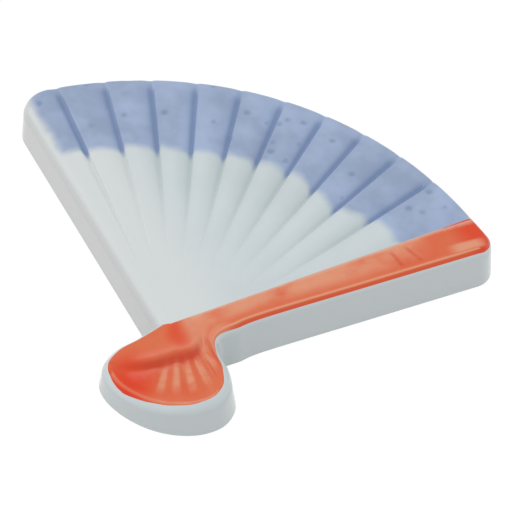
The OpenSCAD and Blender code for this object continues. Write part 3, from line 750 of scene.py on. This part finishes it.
class Nodes:
    """Short calls for building a tree's nodes, some of them in places of the fan."""

    def __init__(self, tree, fan=None):
        self.tree = tree
        self.fan = fan

    def socket(self, label, way, kind="Float"):
        """A new socket of the tree itself."""
        return self.tree.interface.new_socket(label, in_out=way,
                                              socket_type=f"NodeSocket{kind}")

    def add(self, kind, **inputs):
        node = self.tree.nodes.new(kind)
        for name, value in inputs.items():
            self.set(node.inputs[name], value)
        return node

    def set(self, socket, value):
        if isinstance(value, bpy.types.NodeSocket):
            self.tree.links.new(value, socket)
        else:
            socket.default_value = value

    def mark(self, name):
        node = self.add("ShaderNodeAttribute")
        node.attribute_name = name
        return node.outputs["Fac"]

    def feed(self, node, *values):
        """Sets or links a node's first inputs in their order."""
        for k, value in enumerate(values):
            self.set(node.inputs[k], value)
        return node.outputs

    def math(self, kind, *values):
        node = self.add("ShaderNodeMath")
        node.operation = kind
        return self.feed(node, *values)[0]

    def times(self, first, *others):
        """The product of its values."""
        for value in others:
            first = self.math("MULTIPLY", first, value)
        return first

    def strongest(self, parts, **masks):
        """The highest of some masks, each weakened to its own part."""
        highest = None
        for name, mask in masks.items():
            mask = self.times(mask, parts[name])
            highest = mask if highest is None else self.math("MAXIMUM", highest, mask)
        return highest

    def vector(self, kind, first, second):
        node = self.add("ShaderNodeVectorMath")
        node.operation = kind
        return self.feed(node, first, second)

    def ramp(self, value, low, high):
        """0 at low and 1 at high, eased."""
        node = self.add("ShaderNodeMapRange")
        node.interpolation_type = "SMOOTHSTEP"
        return self.feed(node, value, low, high, 0.0, 1.0)[0]

    def window(self, value, start, full, end, gone):
        """1 between full and end, eased to 0 at start and gone."""
        return self.times(self.ramp(value, start, full), self.ramp(value, gone, end))

    def blend(self, share, a, b):
        node = self.add("ShaderNodeMix")
        node.data_type = "RGBA"
        for k, v in ((0, share), (6, a), (7, b)):
            self.set(node.inputs[k], v)
        return node.outputs[2]

    def noise(self, vector, scale, detail=2.0, rough=0.5):
        return self.add("ShaderNodeTexNoise", Vector=vector, Scale=scale, Detail=detail,
                        Roughness=rough).outputs["Fac"]

    def wander(self, value, scale, width):
        """A value moved to and fro by a noise, over a width."""
        noise = self.noise(self.place(), scale)
        return self.math("ADD", value, self.math("MULTIPLY_ADD", noise, width, -width / 2))

    def place(self, scale=(1, 1, 1), turn=0.0):
        """Object coordinates, turned about Z and stretched."""
        where = self.add("ShaderNodeTexCoord").outputs["Object"]
        return self.add("ShaderNodeMapping", Vector=where, Rotation=(0, 0, turn),
                        Scale=scale).outputs[0]

    def along(self, run):
        """How far a place lies from the pleat point in one direction in plan."""
        node = self.vector("DOT_PRODUCT", self.place(), (*run, 0))
        return self.math("ADD", node["Value"], float(self.fan.middle @ run))

    def away(self, kind, x, y):
        """The way from a point of the leaf, given from the pleat point, or its length."""
        middle = self.fan.middle
        return self.vector(kind, self.place(), (x - middle[0], y - middle[1], self.fan.s.leaf_h))

    def spot(self, middle, full, gone):
        """A soft round patch."""
        return self.ramp(self.away("DISTANCE", *middle)["Value"], gone, full)


def relief_tree():
    """Geometry nodes that press the pleats and the small dimples into the glaze."""
    tree = bpy.data.node_groups.new("Pleat relief", "GeometryNodeTree")
    nodes = Nodes(tree)
    nodes.socket("Geometry", "INPUT", "Geometry")
    for label, value in RELIEF_INPUTS.items():
        nodes.socket(label, "INPUT").default_value = value
    nodes.socket("Material", "INPUT", "Material")
    nodes.socket("Geometry", "OUTPUT", "Geometry")
    ends = nodes.add("NodeGroupInput").outputs

    def mark(name):
        node = nodes.add("GeometryNodeInputNamedAttribute", Name=name)
        node.data_type = "FLOAT"
        return node.outputs["Attribute"]

    def across_pleat(shares):
        fall = nodes.add("ShaderNodeFloatCurve", Value=mark("phase"))
        line = fall.mapping.curves[0]
        line.points[0].location = shares[0]
        line.points[1].location = shares[-1]
        for place in shares[1:-1]:
            line.points.new(*place)
        fall.mapping.update()
        return nodes.times(fall.outputs[0], mark("fade"))

    # The first curve drops the grooves into the glaze; the second only marks painted shade across
    # each pleat's face, for the colour.
    groove, tilt = across_pleat(PLEAT_FALL_SHARES), across_pleat(PLEAT_SHADE_SHARES)
    drop = nodes.times(groove, ends["Pleat depth"], -1)
    cells = nodes.add("ShaderNodeTexVoronoi", Scale=ends["Dimple scale"], Randomness=1.0)
    spread = nodes.times(cells.outputs["Distance"], DIMPLE_SLOPE)
    bump = nodes.math("SUBTRACT", 1, nodes.math("MINIMUM", spread, 1))
    chance = nodes.add("FunctionNodeSeparateColor", Color=cells.outputs["Color"]).outputs[0]
    inside = nodes.math("DIVIDE", mark("blue"), ends["Blue margin"])
    inside = nodes.math("MINIMUM", nodes.math("MAXIMUM", inside, 0), 1)
    dimple = nodes.times(bump, bump, nodes.math("GREATER_THAN", chance, DIMPLE_SKIP), inside)
    pit = nodes.times(dimple, ends["Dimple depth"])
    offset = nodes.add("ShaderNodeCombineXYZ", Z=nodes.math("SUBTRACT", drop, pit))
    kept = ends["Geometry"]
    for name, value in (("pool", groove), ("tilt", tilt), ("dimple", dimple)):
        store = nodes.add("GeometryNodeStoreNamedAttribute", Geometry=kept, Name=name)
        store.data_type = "FLOAT"
        nodes.set(store.inputs["Value"], value)
        kept = store.outputs[0]
    place = nodes.add("GeometryNodeSetPosition", Geometry=kept, Offset=offset.outputs[0])
    real = nodes.add("GeometryNodeRealizeInstances", Geometry=place.outputs[0])
    finish = nodes.add("GeometryNodeSetMaterial", Geometry=real.outputs[0],
                       Material=ends["Material"])
    nodes.set(nodes.add("NodeGroupOutput").inputs[0], finish.outputs[0])
    return tree


def press_relief(piece, material, form):
    """Runs the relief tree on a coat and keeps its result as a plain mesh."""
    tree = bpy.data.node_groups.get("Pleat relief") or relief_tree()
    modifier = piece.modifiers.new("Relief", "NODES")
    modifier.node_group = tree
    values = {**RELIEF_INPUTS, "Pleat depth": form.pleat_depth,
              "Dimple depth": form.dimple_depth, "Material": material}
    for item in tree.interface.items_tree:
        if item.in_out == "INPUT" and item.name in values:
            modifier[item.identifier] = values[item.name]
    graph = bpy.context.evaluated_depsgraph_get()
    mesh = bpy.data.meshes.new_from_object(piece.evaluated_get(graph))
    if not mesh.polygons:
        raise RuntimeError(f"{piece.name} has no faces after its relief")
    piece.modifiers.clear()
    old = piece.data
    piece.data = mesh
    bpy.data.meshes.remove(old)
    mesh.name = piece.name


def share_normals(pieces):
    """Smooths the outer faces across the borders between the coats."""
    total = {}

    def key(co):
        return tuple(round(v / NORMAL_GRID) for v in co)

    for piece in pieces:
        outside = piece.data.attributes["outside"].data
        for face in piece.data.polygons:
            if outside[face.index].value:
                for v in face.vertices:
                    k = key(piece.data.vertices[v].co)
                    total[k] = total.get(k, Vector()) + face.normal * face.area
    for piece in pieces:
        mesh = piece.data
        outside = mesh.attributes["outside"].data
        normals = [None] * len(mesh.loops)
        for face in mesh.polygons:
            face.use_smooth = True
            for loop in face.loop_indices:
                k = key(mesh.vertices[mesh.loops[loop].vertex_index].co)
                shared = total.get(k) if outside[face.index].value else None
                normals[loop] = tuple((shared if shared else face.normal).normalized())
        mesh.normals_split_custom_set(normals)


def linear(colour, shade=1.0):
    """A colour as it is written, times a shade, in Blender's own linear values."""
    return [c / 12.92 if c <= 0.04045 else ((c + 0.055) / 1.055) ** 2.4
            for c in (part * shade for part in colour)] + [1.0]


def glaze_group():
    """Uneven melt of a glaze, as masks: a soft cloud and a fine ripple."""
    tree = bpy.data.node_groups.get("Glaze melt")
    if tree:
        return tree
    tree = bpy.data.node_groups.new("Glaze melt", "ShaderNodeTree")
    nodes = Nodes(tree)
    for label, (scale, _, _) in MELT.items():
        nodes.socket(f"{label} scale", "INPUT").default_value = scale
        nodes.socket(label, "OUTPUT")
    ends, place, out = nodes.add("NodeGroupInput"), nodes.place(), nodes.add("NodeGroupOutput")
    for label, (_, detail, rough) in MELT.items():
        mask = nodes.noise(place, ends.outputs[f"{label} scale"], detail, rough)
        nodes.set(out.inputs[label], mask)
    return tree


class Surface(Nodes):
    """A new material's nodes, its shader's inputs and the masks of the glaze's melt."""

    def __init__(self, name, fan):
        self.material = bpy.data.materials.new(name)
        self.material.use_nodes = True
        super().__init__(self.material.node_tree, fan)
        self.shader = self.tree.nodes["Principled BSDF"].inputs
        melt = self.add("ShaderNodeGroup")
        melt.node_tree = glaze_group()
        self.melt = melt.outputs

    def finish(self, colour, roughness, strength, height):
        """Sets the colour, the roughness and a fine bump."""
        bump = self.add("ShaderNodeBump", Strength=strength, Distance=BUMP_DISTANCE, Height=height)
        for name, value in (("Base Color", colour), ("Roughness", roughness),
                            ("Normal", bump.outputs[0])):
            self.set(self.shader[name], value)
        return self.material

    def gloss(self, colour, roughness, ripple, coat=0.35, level=0.5):
        """Finishes a glaze: its colour, a gloss that varies a little, and a faint ripple."""
        for name, value in (("IOR", GLAZE_IOR), ("Coat Weight", coat),
                            ("Coat Roughness", COAT_ROUGHNESS), ("Specular IOR Level", level)):
            self.set(self.shader[name], value)
        spread = self.math("MULTIPLY_ADD", self.melt["Cloud"], GLOSS_SPREAD, roughness)
        return self.finish(colour, spread, ripple, self.melt["Ripple"])

    def pool_and_shade(self, pool, pool_part, face_shade_part):
        """How much of the deep colour shows: in the grooves, where the glaze pools, and as painted
        shade across the pleats' faces.
        """
        grooves = self.times(self.ramp(self.mark("pool"), *pool), pool_part)
        return self.math("MULTIPLY_ADD", self.mark("tilt"), face_shade_part, grooves)


def white_colour(nodes, colours):
    """Clear glaze on white clay: greener where it pools in the grooves, with painted shade across
    the pleats' faces and on the walls, painted light beside the left edge, and a warmer painted
    shade on the left wall.
    """
    base = nodes.blend(nodes.ramp(nodes.melt["Cloud"], *WHITE_CLOUD),
                       linear(colours.white), linear(colours.white, WHITE_SHADE))
    pool_and_shade = nodes.pool_and_shade(WHITE_POOL, WHITE_POOL_PART, WHITE_FACE_SHADE_PART)
    base = nodes.blend(pool_and_shade, base, linear(colours.white_pool_and_shade))
    turned = nodes.mark("round")
    # Painted shade on the walls, then painted light beside the left edge that turns to painted
    # shade down the left wall.
    base = nodes.blend(nodes.ramp(turned, *SIDE_SHADE_TURNED), base, linear(colours.white_side_shade))
    beside = nodes.blend(nodes.ramp(turned, *LEFT_SHADE_TURNED), linear(colours.white_left_light),
                         linear(colours.white_left_shade))
    side = nodes.times(nodes.ramp(nodes.along(nodes.fan.left_normal), *LEFT_LIGHT_BAND),
                       nodes.ramp(nodes.along(nodes.fan.left_run), *LEFT_LIGHT_BAND_END))
    return nodes.blend(side, base, beside)


def clear_glaze_material(colours, fan):
    nodes = Surface("Clear glaze", fan)
    return nodes.gloss(white_colour(nodes, colours), roughness=0.17, ripple=0.05)


def blue_glaze_material(colours, fan):
    nodes = Surface("Blue glaze", fan)
    inside = nodes.ramp(nodes.wander(nodes.mark("blue"), *BLUE_WANDER), *BLUE_IN)
    patches = nodes.ramp(nodes.noise(nodes.place(), *PATCH_NOISE), *BLUE_PATCHES)
    blue = nodes.blend(patches, linear(colours.blue), linear(colours.blue, BLUE_SHADE))
    pool_and_shade = nodes.pool_and_shade(BLUE_POOL, BLUE_POOL_PART, BLUE_FACE_SHADE_PART)
    # Painted shade in the dimples' hollows.
    pit_shade = nodes.times(nodes.ramp(nodes.mark("dimple"), *PIT_SHADE), PIT_SHADE_PART)
    blue = nodes.blend(nodes.math("MAXIMUM", pool_and_shade, pit_shade), blue, linear(colours.blue_pool_and_shade))
    white = white_colour(nodes, colours)
    return nodes.gloss(nodes.blend(inside, white, blue), roughness=0.16, ripple=0.08)


def streak_mask(nodes, across, fine):
    """Pale streaks of the brush that fan out over the handle's hollow."""
    away = nodes.away("SUBTRACT", *STREAK_CENTRE)["Vector"]
    split = nodes.add("ShaderNodeSeparateXYZ", Vector=away).outputs
    angle = nodes.math("ARCTAN2", split["Y"], split["X"])
    turn = 2 * math.pi * (nodes.fan.s.flute_count - 1) / (STREAK_TO - STREAK_FROM)
    wave = nodes.math("COSINE", nodes.times(nodes.math("SUBTRACT", angle, STREAK_FROM), turn))
    fan = nodes.window(angle, STREAK_FROM - STREAK_BLEND, STREAK_FROM - STREAK_CORE,
                       STREAK_TO + STREAK_CORE, STREAK_TO + STREAK_BLEND)
    return nodes.times(nodes.ramp(wave, *STREAK_WAVE), nodes.window(across, *STREAK_ACROSS), fan,
                       nodes.ramp(fine, *STREAK_FINE))


def brush_group(fan):
    """Where the enamel lies thick or thin, as masks: deep, pale, dark and bare. Deep also holds
    painted shade below the ridge, pale holds painted highlights on the ridge, at the neck and near
    the tip, and dark holds painted shade in the crease as well as the brush strokes.
    """
    tree = bpy.data.node_groups.new("Brush strokes", "ShaderNodeTree")
    nodes = Nodes(tree, fan)
    ramp, window, times = nodes.ramp, nodes.window, nodes.times
    along, across, turned = (nodes.mark(name) for name in ("along", "across", "round"))
    blots = nodes.noise(nodes.place(), *BLOT_NOISE)
    fine = nodes.noise(nodes.place(FINE_STRETCH, -fan.s.guard_angle), FINE_NOISE)
    down_guard, off_guard = nodes.along(fan.guard_run), nodes.along(fan.guard_normal)
    near_tip = ramp(down_guard, *NEAR_TIP)
    # Thick enamel, and painted shade on the rounding below the ridge from the neck on.
    deep = nodes.strongest(
        DEEP_PARTS, blots=ramp(blots, *DEEP_BLOTS), tip=ramp(down_guard, *AT_TIP),
        near_tip=near_tip, lobe=nodes.spot(*LOBE_SPOT), rivet=nodes.spot(*RIVET_SPOT),
        below=times(ramp(turned, *SHADE_BELOW_TURNED), ramp(along, *NECK)))
    # Thin enamel; the ridge and neck masks also lay a painted highlight along the ridge.
    on_ridge = nodes.math("MAXIMUM", ramp(along, *RIDGE_GUARD),
                          times(ramp(along, *RIDGE_LOBE), RIDGE_LOBE_PART))
    pale = nodes.strongest(
        PALE_PARTS, streaks=streak_mask(nodes, across, fine), rib_end=nodes.spot(*RIB_END_SPOT),
        border=times(ramp(across, *BORDER_ACROSS), ramp(along, *BORDER_ALONG),
                     nodes.math("SUBTRACT", 1, near_tip), ramp(blots, *BORDER_BLOTS)),
        ridge=times(window(turned, *RIDGE_TURNED), ramp(across, *RIDGE_ACROSS), on_ridge),
        neck=times(window(along, *NECK_ALONG), ramp(across, *NECK_ACROSS)),
        shine=times(window(down_guard, *TIP_HIGHLIGHT_RUN), window(off_guard, *TIP_HIGHLIGHT_OUT)))
    # Painted shade in the valley's crease; the strokes added to it below are enamel.
    dark = times(window(across, *VALLEY_ACROSS), window(along, *VALLEY_ALONG),
                 nodes.math("SUBTRACT", 1, ramp(turned, *FLAT_TURNED)), VALLEY_SHADE_PART)
    for start, slope in STROKES:
        slant = nodes.math("MULTIPLY_ADD", off_guard, slope, down_guard)
        stroke = times(window(slant, start - STROKE_W, start, start, start + STROKE_W),
                       window(off_guard, *STROKE_OUT), ramp(fine, *STROKE_FINE), STROKE_PART)
        dark = nodes.math("MAXIMUM", dark, stroke)
    bare = times(ramp(nodes.wander(across, *BARE_WANDER), *BARE_ACROSS),
                 ramp(along, *BARE_ALONG))
    masks = {"Deep": deep, "Pale": pale, "Dark": dark, "Bare": bare}
    for label in masks:
        nodes.socket(label, "OUTPUT")
    nodes.add("NodeGroupOutput", **masks)
    return tree


def red_enamel_material(colours, fan):
    nodes = Surface("Red enamel", fan)
    brush = nodes.add("ShaderNodeGroup")
    brush.node_tree = brush_group(fan)
    red = linear(colours.red)
    # The masks mix thick and thin enamel with painted shade and painted highlights.
    for mask, colour in (("Deep", colours.red_deep_and_shade), ("Pale", colours.red_pale_and_highlight),
                         ("Dark", colours.red_strokes_and_shade), ("Bare", colours.red_thin)):
        red = nodes.blend(brush.outputs[mask], red, linear(colour))
    return nodes.gloss(red, roughness=0.27, ripple=0.06, coat=0.05, level=0.3)


def clay_material(colours):
    nodes = Surface("Bare porcelain", None)
    grain = nodes.noise(nodes.place(), *CLAY_GRAIN)
    colour = nodes.blend(grain, linear(colours.clay), linear(colours.clay, CLAY_SHADE))
    rough = nodes.math("MULTIPLY_ADD", nodes.melt["Ripple"], CLAY_SPREAD, CLAY_ROUGHNESS)
    return nodes.finish(colour, rough, CLAY_BUMP, grain)


def settings(context):
    scene = context.scene
    return scene.fan_form, scene.fan_glaze, scene.fan_stage


def dress_coat(name, node, sheets, material, form):
    piece = sheets_to_object(name, sheets)
    press_relief(piece, material, form)
    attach(piece, "root")
    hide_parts(node)
    return piece


class FANREST_OT_glaze_coats(bpy.types.Operator):
    """Makes the clear glaze, the blue band and the red enamel as one unbroken skin."""

    bl_idname = "fanrest.glaze_coats"
    bl_label = "Glaze coats"

    def execute(self, context):
        form, colours, _ = settings(context)
        fan = FanForm(form)
        leaf, strip, edge = fan.grids()
        paint, base, side, tip = fan.PAINT_ROW, fan.blue_edge, fan.blue_col, fan.tip_edge
        white = coat_sheets(leaf[:base + 1, :side + 1], edge[paint:], edge[:paint + 1, :base + 1])
        white += rim_strips(
            leaf[0, side::-1], edge[:paint + 1, 0], edge[paint, :base - 1:-1],
            edge[paint::-1, base], leaf[base, :side + 1], leaf[base::-1, side], edge[-1])
        blue = coat_sheets(leaf[base:], leaf[:base + 1, side:], edge[:paint + 1, base:tip + 1])
        blue += rim_strips(
            leaf[base, side::-1], edge[:paint + 1, base], edge[paint, base:tip + 1],
            edge[paint::-1, tip], leaf[0, :side - 1:-1], leaf[:base + 1, side])
        red = coat_sheets(strip, flip=True) + coat_sheets(edge[:paint + 1, tip:])
        red += rim_strips(strip[0, fan.LOBE_COLS:], edge[:paint + 1, tip], edge[paint, tip:],
                          edge[paint::-1, -1])
        share_normals([
            dress_coat("Clear_glaze", "clear_glaze_coat", white,
                       clear_glaze_material(colours, fan), form),
            dress_coat("Blue_band", "blue_glaze_band", blue,
                       blue_glaze_material(colours, fan), form),
            dress_coat("Red_enamel", "red_enamel_coat", red,
                       red_enamel_material(colours, fan), form),
        ])
        return {"FINISHED"}


class FANREST_OT_body(bpy.types.Operator):
    """Finishes the fired clay and the glaze in the hollow underneath."""

    bl_idname = "fanrest.body"
    bl_label = "Porcelain body"

    def execute(self, context):
        glaze = bpy.data.materials.get("Clear glaze")
        if not glaze:
            raise RuntimeError("The glaze coats come before the body")
        clay = clay_material(settings(context)[1])
        for node, material in (("porcelain_body", clay), ("recess_glaze", glaze)):
            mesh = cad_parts[node].data
            mesh.materials.clear()
            mesh.materials.append(material)
        return {"FINISHED"}


class FANREST_OT_stage(bpy.types.Operator):
    """Sets the floor, the soft lamps and the camera at the photographed angle."""

    bl_idname = "fanrest.stage"
    bl_label = "Stage"

    def execute(self, context):
        form, _, stage = settings(context)
        make_floor()
        make_lights(stage)
        make_camera(stage, FanForm(form))
        context.scene.view_settings.view_transform = "Standard"
        return {"FINISHED"}


def make_floor():
    mesh = bpy.data.meshes.new("Floor")
    corners = [(x * FLOOR_HALF, y * FLOOR_HALF, 0) for x, y in ((-1, -1), (1, -1), (1, 1), (-1, 1))]
    mesh.from_pydata(corners, [], [(0, 1, 2, 3)])
    floor = new_object("Floor", mesh)
    material = bpy.data.materials.new("Floor")
    material.use_nodes = True
    nodes = Nodes(material.node_tree)
    shader = material.node_tree.nodes["Principled BSDF"]
    shader.inputs["Base Color"].default_value = (FLOOR_GREY, FLOOR_GREY, FLOOR_GREY, 1)
    shader.inputs["Roughness"].default_value = 1.0
    glow = nodes.add("ShaderNodeEmission", Strength=FLOOR_GLOW)
    path = nodes.add("ShaderNodeLightPath").outputs
    seen = nodes.math("MAXIMUM", path["Is Camera Ray"], path["Is Glossy Ray"])
    both = nodes.feed(nodes.add("ShaderNodeMixShader"), nodes.times(seen, FLOOR_GLOW_PART),
                      shader.outputs[0], glow.outputs[0])
    nodes.set(material.node_tree.nodes["Material Output"].inputs["Surface"], both[0])
    mesh.materials.append(material)


def make_lights(stage):
    world = bpy.data.worlds.new("Studio")
    world.use_nodes = True
    bpy.context.scene.world = world
    nodes = Nodes(world.node_tree)
    back = world.node_tree.nodes["Background"]
    back.inputs["Color"].default_value = (1, 1, 1, 1)
    seen = nodes.add("ShaderNodeLightPath").outputs["Is Camera Ray"]
    nodes.set(back.inputs["Strength"],
              nodes.math("MULTIPLY_ADD", seen, 1.0 - stage.world, stage.world))
    for (name, where, size, tint), power in zip(LAMPS, (stage.key, stage.fill)):
        lamp = bpy.data.lights.new(name, "AREA")
        lamp.shape = "RECTANGLE"
        lamp.size, lamp.size_y = size
        lamp.energy = power
        lamp.color = tint
        holder = new_object(name, lamp)
        holder.location = where
        holder.rotation_euler = Vector(where).to_track_quat("Z", "Y").to_euler()


def make_camera(stage, fan):
    """A pinhole at the fitted angle: the pleat point falls on its own pixel of the frame."""
    e, roll = stage.elevation, stage.roll
    right, up = np.array((1.0, 0, 0)), np.array((0, math.sin(e), math.cos(e)))
    ahead = np.array((0, math.cos(e), -math.sin(e)))
    side = math.cos(roll) * right + math.sin(roll) * up
    top = -math.sin(roll) * right + math.cos(roll) * up
    half = IMAGE_SIDE / 2
    to_pivot = stage.distance * ((PIVOT_PIXEL[0] - half) / stage.focal * side
                                 - (PIVOT_PIXEL[1] - half) / stage.focal * top + ahead)
    turn = np.array(Matrix.Rotation(stage.azimuth, 3, "Z"))
    side, top, ahead, to_pivot = (turn @ v for v in (side, top, ahead, to_pivot))
    pivot = np.array((-fan.middle[0], -fan.middle[1], fan.s.leaf_h))
    camera = new_object("Camera", bpy.data.cameras.new("Camera"))
    camera.data.sensor_width = SENSOR
    camera.data.lens = stage.focal / IMAGE_SIDE * SENSOR
    camera.data.clip_start = CLIP
    camera.matrix_world = Matrix.Translation(pivot - to_pivot) @ Matrix(
        np.stack((side, top, -ahead), axis=1).tolist()).to_4x4()
    bpy.context.scene.camera = camera


class FANREST_PT_panel(bpy.types.Panel):
    """Lists the steps and the sizes in the sidebar."""

    bl_idname = "FANREST_PT_panel"
    bl_label = "Fan Rest"
    bl_space_type = "VIEW_3D"
    bl_region_type = "UI"
    bl_category = "Fan Rest"

    def draw(self, context):
        for step in STEPS:
            self.layout.operator(step.bl_idname)
        for group in settings(context):
            box = self.layout.box()
            for name in group.bl_rna.properties.keys():
                if name not in {"rna_type", "name"}:
                    box.prop(group, name)


STEPS = (FANREST_OT_glaze_coats, FANREST_OT_body, FANREST_OT_stage)
CLASSES = (FormSettings, GlazeSettings, StageSettings, *STEPS, FANREST_PT_panel)


def register():
    for cls in CLASSES:
        bpy.utils.register_class(cls)
    bpy.types.Scene.fan_form = PointerProperty(type=FormSettings)
    bpy.types.Scene.fan_glaze = PointerProperty(type=GlazeSettings)
    bpy.types.Scene.fan_stage = PointerProperty(type=StageSettings)


def unregister():
    for name in ("fan_form", "fan_glaze", "fan_stage"):
        delattr(bpy.types.Scene, name)
    for cls in reversed(CLASSES):
        bpy.utils.unregister_class(cls)


def main():
    register()
    bpy.ops.fanrest.glaze_coats()
    bpy.ops.fanrest.body()
    bpy.ops.fanrest.stage()


if __name__ == "__main__":
    main()
